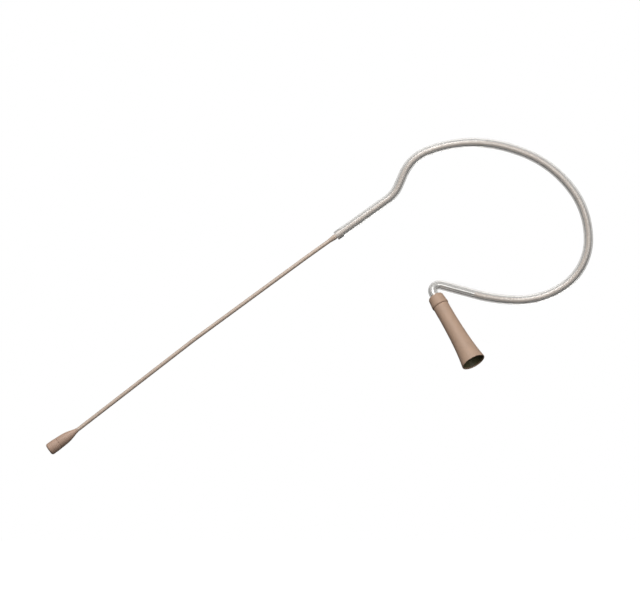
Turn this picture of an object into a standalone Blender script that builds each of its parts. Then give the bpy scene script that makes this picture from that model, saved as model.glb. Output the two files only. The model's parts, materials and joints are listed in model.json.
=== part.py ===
"""Single-ear headset microphone: a formed ear loop in a clear sleeve, a malleable boom with a miniature
capsule on its end, and a flared connector boot under the ear lobe.

World frame, metres: +Z up, -X towards the wearer's mouth, -Y outwards from the head. The origin is the spot
under the crown of the ear loop that rests on top of the ear.
"""

import math

import bmesh
import bpy
from mathutils import Matrix, Vector

MM = 0.001
DEG = math.radians(1)

# ---- ear loop: one tube bent from the sleeve's mouth, over and round the ear, down into the boot ----
SLEEVE_MOUTH = (-38.46, 0.0, -24.87)
SLEEVE_RISE = 35.5
# Each row feeds straight, rolls the plane of the next bend, then bends: feed, roll, radius, bend.
# A positive bend turns anticlockwise seen from outside the ear.
LOOP_BENDS = (
    (17.5, 0, 9.5, 31),
    (3.5, 0, 12.0, -45),
    (0.0, 0, 35.5, -40.5),
    (1.5, 0, 30.5, -32),
    (0.5, 0, 23.0, -35.5),
    (0.5, 0, 16.0, -59),
    (0.0, 0, 22.5, -36.5),
    (0.0, 0, 50.0, -13),
    (9.75, 32, 2.1, 130),
)
LOOP_TAIL = 12.5
NOSE_AFTER_HOOK = 1.0
COAT_END_BEFORE_HOOK = 9.5
DEEPEST_SAG = 0.09
LARGEST_TURN = 12.5
SHORTEST_STEP = 0.05
SAME_POINT = 0.0005
SHARP_EDGE = 35

SLEEVE_SIDES = 12
COAT_SIDES = 10
TUBE_SIDES = 8

SLEEVE_RADIUS = 1.3
SLEEVE_BORE = 0.68
SLEEVE_MOUTH_BORE = 0.98
SLEEVE_MOUTH_DEPTH = 2.0
COAT_RADIUS = 0.58
COAT_BORE = 0.52
TUBE_RADIUS = 0.46
TUBE_BORE = 0.33
TUBE_START = 0.5
WIRE_RADIUS = 0.09
WIRE_OFFSET = 0.14
WIRE_SIDES = 5
CONDUCTORS = (("signal", 1), ("ground", -1))

# ---- boom joint: the ferrule crimped on the loop, then the collar, then the boom, 0.3 mm apart ----
JOINT_GAP = 0.3
COLLAR_LENGTH = 1.9
YAW_STATION = JOINT_GAP / 2
PITCH_STATION = YAW_STATION + JOINT_GAP + COLLAR_LENGTH

# ---- boom: measured from the pitch pivot towards the mouth, rows as for the loop ----
BOOM_BENDS = (
    (7.8, 0, 1500.0, 3.0),
    (0.5, 0, 20.0, -3.2),
)
BOOM_TAIL = 6.5
BOOM_COAT_RADIUS = 0.56
BOOM_COAT_BORE = 0.5
COAT_INTO_NECK = 0.35
NECK_AFTER_BEND = 0.4
BOOM_COAT_SIDES = 12
COLLAR_SIDES = 20

# ---- capsule: heights along its own axis, from the neck (0) to the front face ----
CAPSULE_LENGTH = 9.6
CAPSULE_SIDES = 16
CAN_RADIUS = 1.1
CAN_BACK = 3.3
CAN_FRONT = 8.85
CAP_SEAM = 6.1
CAP_GAP = 0.1
CAP_RADIUS = 1.75
CAP_ROUNDING = 0.6
TUBE_INTO_CAPSULE = 3.0
WIRES_INTO_CAPSULE = 6.0
SOLDER_HEIGHT = 0.4
SOLDER_OFFSET = 0.3

# ---- connector boot: depths along its own axis, from the nose (0) to the mouth ----
BOOT_LENGTH = 22.9
BOOT_SIDES = 20
BOOT_MOUTH_RADIUS = 3.45
BOOT_BORE = 1.65
NOSE_DEPTH = 3.3
SLEEVE_INTO_BOOT = 1.7
TUBE_INTO_BOOT = 8.0
WIRES_INTO_BOOT = 10.6


def material(name, colour, roughness, metallic=0.0, transmission=0.0):
    made = bpy.data.materials.new(name)
    made.use_nodes = True
    shader = made.node_tree.nodes["Principled BSDF"]
    shader.inputs["Base Color"].default_value = (*colour, 1.0)
    shader.inputs["Roughness"].default_value = roughness
    shader.inputs["Metallic"].default_value = metallic
    shader.inputs["Transmission Weight"].default_value = transmission
    made.diffuse_color = (*colour, 1.0)
    return made


def empty(name, matrix, parent=None):
    """An axis that pieces are placed from: its local Z is the axis."""
    made = bpy.data.objects.new(name, None)
    made.empty_display_size = 0.003
    made.parent = parent
    made.matrix_local = matrix
    bpy.context.collection.objects.link(made)
    return made


def finish(name, mesh_maker, surface, parent, matrix=None):
    """Turns a bmesh in millimetres into a named object in metres under its parent axis."""
    bmesh.ops.recalc_face_normals(mesh_maker, faces=mesh_maker.faces)
    bmesh.ops.scale(mesh_maker, vec=(MM, MM, MM), verts=mesh_maker.verts)
    mesh = bpy.data.meshes.new(name)
    mesh_maker.to_mesh(mesh)
    mesh_maker.free()
    mesh.shade_smooth()
    mesh.set_sharp_from_angle(angle=SHARP_EDGE * DEG)
    piece = bpy.data.objects.new(name, mesh)
    piece.data.materials.append(surface)
    piece.parent = parent
    piece.matrix_local = matrix or Matrix.Identity(4)
    bpy.context.collection.objects.link(piece)
    return piece


def along(depth):
    return Matrix.Translation((0, 0, depth))


# ---- bent tubes ----
def bend_steps(radius, bend):
    """How many short chords stand for one bend, each within the largest turn and the deepest sag."""
    by_turn = abs(bend) / LARGEST_TURN
    by_sag = abs(bend) * DEG * math.sqrt(radius / (8 * DEEPEST_SAG))
    return math.ceil(max(by_turn, by_sag))


def route(rows, tail):
    """Stations along a bent tube, as (distance, matrix): millimetres, the matrix's Z along the tube."""
    distance = 0.0
    station = Matrix.Identity(4)
    stations = [(distance, station)]
    for feed, roll, radius, bend in rows:
        if feed:
            distance += feed
            station = station @ along(feed)
            stations.append((distance, station))
        steps = bend_steps(radius, bend)
        to_centre = Matrix.Translation((math.copysign(radius, bend), 0, 0))
        centre = Matrix.Rotation(roll * DEG, 4, "Z") @ to_centre
        turn = centre @ Matrix.Rotation(bend * DEG / steps, 4, "Y") @ centre.inverted()
        for _ in range(steps):
            distance += abs(bend) * DEG * radius / steps
            station = station @ turn
            stations.append((distance, station))
    stations.append((distance + tail, station @ along(tail)))
    return stations


def station_at(stations, distance):
    """The matrix at a distance that lies on a straight stretch."""
    before = [entry for entry in stations if entry[0] <= distance + 1e-9][-1]
    return before[1] @ along(distance - before[0])


def stretch(stations, start, end):
    """The matrices from start to end, both on straight stretches."""
    inside = [matrix for place, matrix in stations if start + SHORTEST_STEP < place < end - SHORTEST_STEP]
    return [station_at(stations, start), *inside, station_at(stations, end)]


def ring(mesh_maker, matrix, radius, sides, capped=False):
    made = bmesh.ops.create_circle(mesh_maker, cap_ends=capped, segments=sides, radius=radius, matrix=matrix)
    return made["verts"]


def skin(mesh_maker, rings):
    """Joins each ring to the next, corner to corner."""
    for first, second in zip(rings, rings[1:]):
        for index, corner in enumerate(first):
            mesh_maker.faces.new((first[index - 1], corner, second[index], second[index - 1]))


def hollow_tube(name, places, radius, bore, sides, surface, parent, mouth=()):
    """A tube along the places. mouth holds the rings of a wider bore at its first end."""
    maker = bmesh.new()
    outside = [ring(maker, place, radius, sides) for place in places]
    inside = [ring(maker, place, bore, sides) for place in reversed(places[1 if mouth else 0 :])]
    entry = [ring(maker, place, wider, sides) for place, wider in mouth]
    rings = outside + inside + entry
    skin(maker, rings + rings[:1])
    return finish(name, maker, surface, parent)


def wire(name, places, offset, surface, parent):
    """A solid conductor beside the tube's centre line."""
    maker = bmesh.new()
    beside = [place @ Matrix.Translation((0, offset, 0)) for place in places]
    last = len(beside) - 1
    rings = []
    for index, place in enumerate(beside):
        rings.append(ring(maker, place, WIRE_RADIUS, WIRE_SIDES, capped=index in (0, last)))
    skin(maker, rings)
    return finish(name, maker, surface, parent)


# ---- turned pieces ----
def turned(name, outline, sides, surface, parent, matrix=None):
    """A closed outline of (radius, depth) points spun about the local Z axis."""
    maker = bmesh.new()
    points = [maker.verts.new((radius, 0, depth)) for radius, depth in outline]
    edges = [maker.edges.new(pair) for pair in zip(points, points[1:] + points[:1])]
    edges = [edge for edge in edges if any(vert.co.x > 0 for vert in edge.verts)]
    bmesh.ops.spin(maker, geom=points + edges, axis=(0, 0, 1), cent=(0, 0, 0), angle=360 * DEG, steps=sides)
    bmesh.ops.remove_doubles(maker, verts=maker.verts, dist=SAME_POINT)
    loose = [edge for edge in maker.edges if not edge.link_faces]
    bmesh.ops.delete(maker, geom=loose, context="EDGES")
    return finish(name, maker, surface, parent, matrix)


def washer(name, radius, bore, low, high, sides, surface, parent):
    outline = [(radius, high), (radius, low), (bore, low), (bore, high)]
    return turned(name, outline, sides, surface, parent)


def disc(name, radius, low, high, sides, surface, parent):
    outline = [(0, high), (radius, high), (radius, low), (0, low)]
    return turned(name, outline, sides, surface, parent)


def arc(centre, radius, start, end, steps):
    """Points of a round corner in a turned outline."""
    points = []
    for index in range(steps + 1):
        angle = (start + (end - start) * index / steps) * DEG
        points.append((centre[0] + radius * math.cos(angle), centre[1] + radius * math.sin(angle)))
    return points


def solder_dome(name, offset, depth, surface, parent):
    """A small bead of solder where one conductor ends."""
    top = depth + SOLDER_HEIGHT
    outline = [(0, top), (0.1, top), (0.17, top - 0.16), (0.2, depth), (0, depth)]
    return turned(name, outline, 10, surface, parent, Matrix.Translation((0, offset * MM, 0)))


def box(name, size, centre, surface, parent):
    maker = bmesh.new()
    bmesh.ops.create_cube(maker, size=1.0, matrix=Matrix.Translation(centre) @ Matrix.Diagonal((*size, 1)))
    bmesh.ops.bevel(maker, geom=maker.edges[:], offset=0.03, segments=1, affect="EDGES")
    return finish(name, maker, surface, parent)


# ---- the assembly's three groups ----
def make_loop(finishes, mouth_axis):
    stations = route(LOOP_BENDS, LOOP_TAIL)
    tail = stations[-2][0]
    hook_length = LOOP_BENDS[-1][2] * LOOP_BENDS[-1][3] * DEG
    coat_end = tail - hook_length - COAT_END_BEFORE_HOOK
    nose = tail + NOSE_AFTER_HOOK

    sleeve_places = stretch(stations, 0, nose + SLEEVE_INTO_BOOT)
    sleeve_mouth = [
        (along(SLEEVE_MOUTH_DEPTH), SLEEVE_BORE),
        (along(SLEEVE_MOUTH_DEPTH), SLEEVE_MOUTH_BORE),
        (along(0), SLEEVE_MOUTH_BORE),
    ]
    hollow_tube(
        "clear_sleeve",
        sleeve_places,
        SLEEVE_RADIUS,
        SLEEVE_BORE,
        SLEEVE_SIDES,
        finishes["silicone"],
        mouth_axis,
        mouth=sleeve_mouth,
    )
    coat_places = stretch(stations, SLEEVE_MOUTH_DEPTH, coat_end)
    coat = finishes["tan_coat"]
    hollow_tube("loop_coat", coat_places, COAT_RADIUS, COAT_BORE, COAT_SIDES, coat, mouth_axis)
    tube_places = stretch(stations, TUBE_START, nose + TUBE_INTO_BOOT)
    hollow_tube("loop_tube", tube_places, TUBE_RADIUS, TUBE_BORE, TUBE_SIDES, finishes["steel"], mouth_axis)
    wire_places = stretch(stations, TUBE_START, nose + WIRES_INTO_BOOT)
    wire("loop_signal_wire", wire_places, WIRE_OFFSET, finishes["gold"], mouth_axis)
    wire("loop_ground_wire", wire_places, -WIRE_OFFSET, finishes["copper"], mouth_axis)
    ferrule = [
        (0.5, 0.05),
        (0.7, 0.05),
        (0.78, 0.15),
        (0.92, 1.2),
        (0.92, SLEEVE_MOUTH_DEPTH - 0.35),
        (0.8, SLEEVE_MOUTH_DEPTH - 0.15),
        (0.5, SLEEVE_MOUTH_DEPTH - 0.15),
    ]
    turned("core_ferrule", ferrule, COLLAR_SIDES, coat, mouth_axis)
    return station_at(stations, nose)


def make_boot(finishes, axis):
    nose_outline = [
        (2.18, 0.25),
        (2.46, 2.95),
        (2.4, NOSE_DEPTH - 0.1),
        (2.3, NOSE_DEPTH),
        (1.75, NOSE_DEPTH),
        (1.75, 2.1),
        (1.43, 1.95),
        (1.43, 0.0),
        (1.88, 0.0),
        (2.08, 0.08),
    ]
    turned("boot_nose", nose_outline, BOOT_SIDES, finishes["tan_boot"], axis)
    shell_outline = [
        (BOOT_MOUTH_RADIUS, BOOT_LENGTH),
        (BOOT_MOUTH_RADIUS - 0.36, BOOT_LENGTH),
        (2.9, 20.6),
        (2.84, 19.95),
        (BOOT_BORE, 19.95),
        (BOOT_BORE, 4.2),
        (0.62, 4.2),
        (0.62, 2.3),
        (1.68, 2.3),
        (1.68, NOSE_DEPTH + 0.08),
        (2.28, NOSE_DEPTH + 0.08),
        (2.29, 8.0),
        (2.42, 12.0),
        (2.58, 15.0),
        (2.78, 17.6),
        (3.03, 20.0),
        (3.3, 21.9),
        (3.44, 22.6),
    ]
    turned("boot_shell", shell_outline, BOOT_SIDES, finishes["tan_boot"], axis)
    crimp_outline = [
        (1.2, 4.5),
        (1.2, 5.2),
        (1.02, 5.4),
        (1.02, 6.4),
        (1.2, 6.6),
        (1.2, 7.8),
        (0.5, 7.8),
        (0.5, 4.5),
    ]
    turned("crimp_ferrule", crimp_outline, BOOT_SIDES // 2, finishes["brass"], axis)
    washer("potting_plug", 1.6, 0.34, 8.6, 10.2, BOOT_SIDES // 2, finishes["epoxy"], axis)
    for conductor, side in CONDUCTORS:
        name = f"socket_solder_{conductor}"
        solder_dome(name, side * SOLDER_OFFSET, WIRES_INTO_BOOT + 0.12, finishes["solder"], axis)
    disc("socket_back", 1.6, 11.2, 11.7, BOOT_SIDES // 2, finishes["insulator"], axis)
    washer("socket_sleeve", 1.58, 1.3, 11.8, 19.6, BOOT_SIDES, finishes["nickel"], axis)
    washer("socket_insulator", 1.26, 0.42, 11.8, 17.4, BOOT_SIDES // 2, finishes["insulator"], axis)
    washer("centre_contact", 0.38, 0.2, 11.8, 18.2, BOOT_SIDES // 2, finishes["gold"], axis)
    bezel_outline = [
        (2.74, 20.05),
        (2.8, 20.55),
        (2.7, 20.95),
        (1.6, 20.95),
        (1.45, 20.8),
        (1.45, 20.05),
    ]
    turned("socket_bezel", bezel_outline, BOOT_SIDES, finishes["bezel"], axis)


def make_collar(finishes, axis):
    """The tapered collar, from its wide end at the loop to its thin end at the boom."""
    start = JOINT_GAP / 2
    end = start + COLLAR_LENGTH
    outline = [
        (0.42, start),
        (0.66, start),
        (0.75, start + 0.12),
        (0.72, start + 0.6),
        (0.64, start + 1.2),
        (0.59, end - 0.1),
        (0.5, end),
        (0.42, end),
    ]
    turned("boom_collar", outline, COLLAR_SIDES, finishes["tan_coat"], axis)


def make_boom(finishes, axis):
    stations = route(BOOM_BENDS, BOOM_TAIL)
    start = JOINT_GAP / 2
    neck = stations[-2][0]
    coat_places = stretch(stations, start, neck + COAT_INTO_NECK)
    coat = finishes["tan_coat"]
    hollow_tube("boom_coat", coat_places, BOOM_COAT_RADIUS, BOOM_COAT_BORE, BOOM_COAT_SIDES, coat, axis)
    tube_places = stretch(stations, start, neck + TUBE_INTO_CAPSULE)
    hollow_tube("boom_tube", tube_places, TUBE_RADIUS, TUBE_BORE, TUBE_SIDES, finishes["steel"], axis)
    wire_places = stretch(stations, start + 0.1, neck + WIRES_INTO_CAPSULE)
    wire("boom_signal_wire", wire_places, WIRE_OFFSET, finishes["gold"], axis)
    wire("boom_ground_wire", wire_places, -WIRE_OFFSET, finishes["copper"], axis)
    return station_at(stations, neck + NECK_AFTER_BEND)


def make_capsule(finishes, axis):
    housing_outline = [
        (0.5, 0.0),
        (0.64, 0.0),
        (0.8, 0.8),
        (1.04, 1.7),
        (1.3, 2.7),
        (1.5, 3.7),
        (1.61, 4.8),
        (CAP_RADIUS - 0.06, CAP_SEAM - 0.12),
        (CAP_RADIUS - 0.1, CAP_SEAM),
        (CAN_RADIUS + 0.04, CAP_SEAM),
        (CAN_RADIUS + 0.04, CAN_BACK + 1.0),
        (0.96, CAN_BACK + 0.1),
        (0.96, CAN_BACK - 0.2),
        (0.5, CAN_BACK - 0.5),
    ]
    turned("capsule_housing", housing_outline, CAPSULE_SIDES, finishes["tan_capsule"], axis)
    can_outline = [
        (0.84, CAN_FRONT - 0.1),
        (0.4, CAN_FRONT - 0.1),
        (0.4, CAN_FRONT),
        (CAN_RADIUS - 0.08, CAN_FRONT),
        (CAN_RADIUS, CAN_FRONT - 0.08),
        (CAN_RADIUS, CAN_BACK + 1.1),
        (CAN_RADIUS - 0.1, CAN_BACK + 1.1),
        (CAN_RADIUS - 0.1, CAN_FRONT - 0.1),
    ]
    turned("capsule_can", can_outline, CAPSULE_SIDES, finishes["nickel"], axis)
    washer("diaphragm_ring", 0.96, 0.7, 8.5, 8.7, CAPSULE_SIDES, finishes["brass"], axis)
    disc("diaphragm", 0.96, 8.44, 8.46, CAPSULE_SIDES, finishes["gold"], axis)
    washer("spacer_washer", 0.96, 0.76, 8.32, 8.4, CAPSULE_SIDES, finishes["film"], axis)
    disc("backplate", 0.74, 7.95, 8.28, CAPSULE_SIDES, finishes["brass"], axis)
    cup_outline = [
        (0.96, 8.28),
        (0.96, 6.95),
        (0.62, 6.95),
        (0.62, 7.9),
        (0.78, 7.9),
        (0.78, 8.28),
    ]
    turned("insulator_cup", cup_outline, CAPSULE_SIDES, finishes["film"], axis)
    disc("gate_contact", 0.16, 7.3, 7.9, 10, finishes["gold"], axis)
    box("amplifier_chip", (0.62, 0.46, 0.32), (0, 0, 7.06), finishes["epoxy"], axis)
    disc("amplifier_board", 0.96, 6.55, 6.86, CAPSULE_SIDES, finishes["board"], axis)
    for conductor, side in CONDUCTORS:
        name = f"board_solder_{conductor}"
        solder_dome(name, side * SOLDER_OFFSET, WIRES_INTO_CAPSULE + 0.1, finishes["solder"], axis)
    seal_outline = [
        (0.9, 4.6),
        (0.9, 3.3),
        (0.42, 3.3),
        (0.42, 4.6),
    ]
    turned("rear_seal", seal_outline, CAPSULE_SIDES // 2, finishes["rubber"], axis)


def make_cap(finishes, axis):
    """The push-on cap, with its own corner rounding, and the screen held behind its front opening."""
    front = CAPSULE_LENGTH
    outline = [
        (CAN_RADIUS + 0.05, CAP_SEAM + CAP_GAP),
        (CAP_RADIUS - 0.1, CAP_SEAM + CAP_GAP),
        (CAP_RADIUS - 0.05, CAP_SEAM + CAP_GAP + 0.1),
        (CAP_RADIUS, CAP_SEAM + 1.4),
        *arc((CAP_RADIUS - CAP_ROUNDING, front - CAP_ROUNDING), CAP_ROUNDING, 0, 90, 6),
        (0.72, front),
        (0.72, front - 0.3),
        (CAN_RADIUS + 0.05, front - 0.3),
    ]
    turned("acoustic_cap", outline, CAPSULE_SIDES, finishes["tan_capsule"], axis)
    disc("cap_screen", 1.08, front - 0.5, front - 0.36, CAPSULE_SIDES, finishes["nickel"], axis)


def main():
    for thing in list(bpy.data.objects):
        bpy.data.objects.remove(thing, do_unlink=True)

    finishes = {
        "tan_coat": material("tan_coat", (0.38, 0.27, 0.21), 0.45),
        "tan_capsule": material("tan_capsule", (0.32, 0.22, 0.17), 0.5),
        "tan_boot": material("tan_boot", (0.42, 0.29, 0.22), 0.55),
        "silicone": material("silicone", (0.86, 0.86, 0.84), 0.1, transmission=0.9),
        "steel": material("steel", (0.62, 0.62, 0.61), 0.22, metallic=1.0),
        "nickel": material("nickel", (0.6, 0.58, 0.54), 0.3, metallic=1.0),
        "brass": material("brass", (0.72, 0.52, 0.22), 0.32, metallic=1.0),
        "gold": material("gold", (0.85, 0.62, 0.25), 0.25, metallic=1.0),
        "copper": material("copper", (0.7, 0.35, 0.2), 0.35, metallic=1.0),
        "solder": material("solder", (0.55, 0.55, 0.56), 0.35, metallic=1.0),
        "film": material("film", (0.75, 0.68, 0.5), 0.4),
        "board": material("board", (0.05, 0.16, 0.08), 0.5),
        "epoxy": material("epoxy", (0.03, 0.03, 0.03), 0.4),
        "rubber": material("rubber", (0.05, 0.045, 0.04), 0.7),
        "insulator": material("insulator", (0.07, 0.065, 0.045), 0.5),
        "bezel": material("bezel", (0.045, 0.042, 0.025), 0.45),
    }

    # At the sleeve's mouth local Z runs into the loop, local X points up and back, local Y outwards.
    rise = Vector((math.cos(SLEEVE_RISE * DEG), 0, math.sin(SLEEVE_RISE * DEG)))
    outwards = Vector((0, -1, 0))
    facing = Matrix((outwards.cross(rise), outwards, rise)).transposed().to_4x4()
    mouth = Matrix.Translation(Vector(SLEEVE_MOUTH) * MM) @ facing
    mouth_axis = empty("sleeve_mouth_axis", mouth)

    nose = make_loop(finishes, mouth_axis)
    nose.translation *= MM
    boot_axis = empty("boot_axis", nose, mouth_axis)
    make_boot(finishes, boot_axis)

    # The boom leaves the mouth the other way: turned half round about the outward axis.
    away = Matrix.Rotation(180 * DEG, 4, "Y")
    collar_axis = empty("boom_yaw_axis", away @ along(YAW_STATION * MM), mouth_axis)
    make_collar(finishes, collar_axis)
    pitch_axis = empty("boom_pitch_axis", along((PITCH_STATION - YAW_STATION) * MM), collar_axis)
    neck = make_boom(finishes, pitch_axis)
    neck.translation *= MM
    capsule_axis = empty("capsule_axis", neck, pitch_axis)
    make_capsule(finishes, capsule_axis)
    cap_axis = empty("cap_slide_axis", Matrix.Identity(4), capsule_axis)
    make_cap(finishes, cap_axis)


main()
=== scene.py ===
"""Headset microphone: the finished surfaces of the ear loop, boom, capsule and connector boot.

Lengths in the tables below are millimetres; every mesh is made in metres in the frame's own coordinates.
"""

import json
import math

import bmesh
import bpy
from bpy.props import FloatProperty, FloatVectorProperty, IntProperty, PointerProperty
from mathutils import Matrix, Vector

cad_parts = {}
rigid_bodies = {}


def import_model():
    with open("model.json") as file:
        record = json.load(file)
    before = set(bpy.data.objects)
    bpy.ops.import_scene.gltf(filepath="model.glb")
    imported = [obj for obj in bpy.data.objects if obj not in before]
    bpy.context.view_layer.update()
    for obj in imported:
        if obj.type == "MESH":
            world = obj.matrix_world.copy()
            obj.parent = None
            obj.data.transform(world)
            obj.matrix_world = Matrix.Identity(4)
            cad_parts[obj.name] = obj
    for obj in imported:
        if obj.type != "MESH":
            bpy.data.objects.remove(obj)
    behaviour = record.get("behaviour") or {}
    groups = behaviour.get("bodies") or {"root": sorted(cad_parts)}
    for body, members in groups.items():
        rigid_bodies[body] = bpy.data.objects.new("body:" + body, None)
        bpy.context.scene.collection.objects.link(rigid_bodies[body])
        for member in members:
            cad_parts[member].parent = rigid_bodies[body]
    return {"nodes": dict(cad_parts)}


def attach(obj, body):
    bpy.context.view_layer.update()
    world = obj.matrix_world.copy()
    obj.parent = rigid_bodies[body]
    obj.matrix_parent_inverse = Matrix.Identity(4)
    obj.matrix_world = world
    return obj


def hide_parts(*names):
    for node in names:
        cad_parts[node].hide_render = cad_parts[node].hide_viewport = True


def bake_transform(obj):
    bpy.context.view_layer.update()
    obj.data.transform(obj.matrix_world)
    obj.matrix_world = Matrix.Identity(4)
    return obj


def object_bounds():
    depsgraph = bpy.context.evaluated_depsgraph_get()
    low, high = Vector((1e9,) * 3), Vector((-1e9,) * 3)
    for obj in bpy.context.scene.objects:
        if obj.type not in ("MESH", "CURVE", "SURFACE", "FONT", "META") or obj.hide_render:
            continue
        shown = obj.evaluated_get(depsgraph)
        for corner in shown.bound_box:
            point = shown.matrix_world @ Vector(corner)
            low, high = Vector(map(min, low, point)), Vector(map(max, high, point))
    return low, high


bl_info = {
    "name": "Headset Microphone",
    "version": (1, 0, 0),
    "blender": (4, 5, 0),
    "location": "3D View > Sidebar > Headset",
    "description": "Builds the finished surfaces of a single-ear headset microphone round its packed frame",
    "category": "Object",
}

for leftover in list(bpy.data.objects):
    bpy.data.objects.remove(leftover, do_unlink=True)
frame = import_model()
CAD_LOW, CAD_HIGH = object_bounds()

MM = 0.001
DEG = math.radians(1)

# ---- the bent routes, as the frame's own tubes follow them ----
SLEEVE_MOUTH = (-38.46, 0.0, -24.87)
SLEEVE_RISE = 35.5
# Each row feeds straight, rolls the plane of the next bend, then bends: feed, roll, radius, bend.
LOOP_BENDS = (
    (17.5, 0, 9.5, 31),
    (3.5, 0, 12.0, -45),
    (0.0, 0, 35.5, -40.5),
    (1.5, 0, 30.5, -32),
    (0.5, 0, 23.0, -35.5),
    (0.5, 0, 16.0, -59),
    (0.0, 0, 22.5, -36.5),
    (0.0, 0, 50.0, -13),
    (9.75, 32, 2.1, 130),
)
LOOP_TAIL = 12.5
TUBE_START = 0.5
TUBE_PAST_NOSE = 8.0
FERRULE_ROOM = 2.0
NOSE_AFTER_HOOK = 1.0
COAT_END_BEFORE_HOOK = 9.5
BOOM_BENDS = (
    (7.8, 0, 1500.0, 3.0),
    (0.5, 0, 20.0, -3.2),
)
BOOM_TAIL = 6.5
NECK_AFTER_BEND = 0.4
YAW_STATION = 0.15
PITCH_STATION = 2.35
# The boom's skin starts this far before its hinge, inside the collar.
BOOM_SKIN_START = -0.75
# The largest step along a bend, in degrees.
TURN_STEP = 2.5
# A guide runs this far past both ends of its route.
LEAD = 3.0

CAP_SEAM = 6.1
# Half the gap at the seam, and how far its two edges lie under the cap's side.
HALF_SEAM = 0.03
SEAM_DROP = 0.08
CAP_RADIUS = 1.75
CAP_ROUNDING = 0.6
DOME_STEPS = 8
CAPSULE_LENGTH = 9.6
SCREEN_DEPTH = 9.17
SCREEN_RADIUS = 0.98
BOOT_LENGTH = 22.9
NOSE_DEPTH = 3.3
SLEEVE_INTO_BOOT = 1.7

# Faces round the pieces that don't take the number in the settings.
CORE_SIDES = 40
SLIM_SIDES = 48
SOCKET_SIDES = 64
BOOT_SIDES = 96
BEZEL_SIDES = 128

# How pale or dark the marks on a moulding are, as shares of its own colour.
MOTTLE_SHADES = (0.93, 1.06)
SPECKLE_SHADE = 1.1
WORN_SHADE = 1.45
# The same for the smears on a metal, and for the cloudy patches in the silicone.
SMEAR_SHADES = (1.04, 0.9)
CLOUD_SHADE = 0.96
# The drawing lines' scale across a tube and along it.
DRAWN_ALONG = (9000.0, 9000.0, 260.0)

# Each light has its place from the object's middle in metres, its share of the key strength, and whether it
# shows in reflections. The back light doesn't: from in front it would only glare off the sleeve's edges.
LIGHTS = {
    "Key": ((-0.15, -0.45, 0.52), 1.0, True),
    "Front Fill": ((0.3, -0.7, 0.15), 0.4, True),
    "Back Fill": ((0.2, 0.75, 0.1), 0.9, False),
}
LIGHT_SIZE = 0.5
# The camera takes in this width in metres, and looks this many millimetres right of the object's middle
# and above it.
SHOWN_WIDTH = 0.1792
SHOWN_RIGHT = 0.12
SHOWN_ABOVE = -0.36


# ---- settings a user would change ----
def length_setting(name, description, default, low, high):
    """A length whose three values are given in millimetres."""
    options = {"min": low * MM, "max": high * MM, "unit": "LENGTH", "precision": 5}
    return FloatProperty(name=name, description=description, default=default * MM, **options)


def colour_setting(name, description, default):
    options = {"min": 0, "max": 1, "subtype": "COLOR"}
    return FloatVectorProperty(name=name, description=description, default=default, **options)


class HeadsetSizes(bpy.types.PropertyGroup):
    sleeve_radius: length_setting(
        "Sleeve Radius",
        "Outer radius of the clear sleeve over the ear",
        default=1.3,
        low=1.0,
        high=1.4,
    )
    core_radius: length_setting(
        "Core Radius",
        "Outer radius of the coated tube inside the sleeve",
        default=0.6,
        low=0.5,
        high=0.66,
    )
    boom_radius: length_setting(
        "Boom Radius",
        "Outer radius of the coated boom",
        default=0.56,
        low=0.52,
        high=0.6,
    )
    screen_pitch: length_setting(
        "Screen Pitch",
        "Distance between neighbouring wires of the capsule's screen",
        default=0.13,
        low=0.09,
        high=0.3,
    )
    round_sides: IntProperty(
        name="Sides",
        description="Faces round each turned or bent piece",
        default=64,
        min=16,
        max=128,
    )


class HeadsetColours(bpy.types.PropertyGroup):
    boot: colour_setting("Boot", "Moulded tan of the connector boot", (0.335, 0.226, 0.16))
    capsule: colour_setting("Capsule", "Painted tan of the capsule and its cap", (0.35, 0.235, 0.173))
    coat: colour_setting(
        "Boom Coat",
        "Tan coat of the boom and of the core under the sleeve",
        (0.41, 0.32, 0.255),
    )
    sleeve: colour_setting("Sleeve", "Faint tint of the clear silicone", (0.74, 0.725, 0.70))
    # This colour also paints the dark lining up the inside of the boot's mouth, which is painted shade over
    # the boot's tan; on the cup it is the socket's own dark olive.
    bezel: colour_setting(
        "Socket Bezel",
        "Dark olive of the cup and ring in the boot's mouth",
        (0.085, 0.077, 0.036),
    )


class HeadsetStage(bpy.types.PropertyGroup):
    floor_drop: FloatProperty(
        name="Floor Drop",
        description="How far the floor lies under the object, which hangs from the ear",
        default=0.45,
        min=0.0,
        unit="LENGTH",
    )
    floor_colour: colour_setting("Floor Colour", "Colour of the plain floor", (0.95, 0.95, 0.95))
    key_strength: FloatProperty(
        name="Key Strength",
        description="Power of the large soft light above the object",
        default=5.5,
        min=0.0,
        unit="POWER",
    )
    focal_length: FloatProperty(
        name="Focal Length",
        description="Lens of the camera",
        default=250.0,
        min=50.0,
        unit="CAMERA",
    )


# ---- small node helpers ----
def node(tree, kind, inputs=None, **settings):
    """Adds one node; an input is given a plain value or another node's output."""
    made = tree.nodes.new(kind)
    for key, value in settings.items():
        setattr(made, key, value)
    for key, value in (inputs or {}).items():
        if isinstance(value, bpy.types.NodeSocket):
            tree.links.new(value, made.inputs[key])
        else:
            made.inputs[key].default_value = value
    return made


def sums(tree, operation, *values):
    kind = "ShaderNodeMath"
    return node(tree, kind, dict(enumerate(values)), operation=operation).outputs[0]


def vectors(tree, operation, *values):
    kind = "ShaderNodeVectorMath"
    return node(tree, kind, dict(enumerate(values)), operation=operation).outputs[0]


def spread(tree, value, low, high, bottom=0.0, top=1.0):
    """The value carried from the range low to high over to the range bottom to top, and held inside it."""
    ranges = {"Value": value, "From Min": low, "From Max": high, "To Min": bottom, "To Max": top}
    return node(tree, "ShaderNodeMapRange", ranges).outputs["Result"]


def shared_group(tree, name, builder, place):
    """A shared shader group reading its pattern at the place."""
    made = node(tree, "ShaderNodeGroup", node_tree=tree_named(name, builder))
    tree.links.new(place, made.inputs["Place"])
    return made


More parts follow.
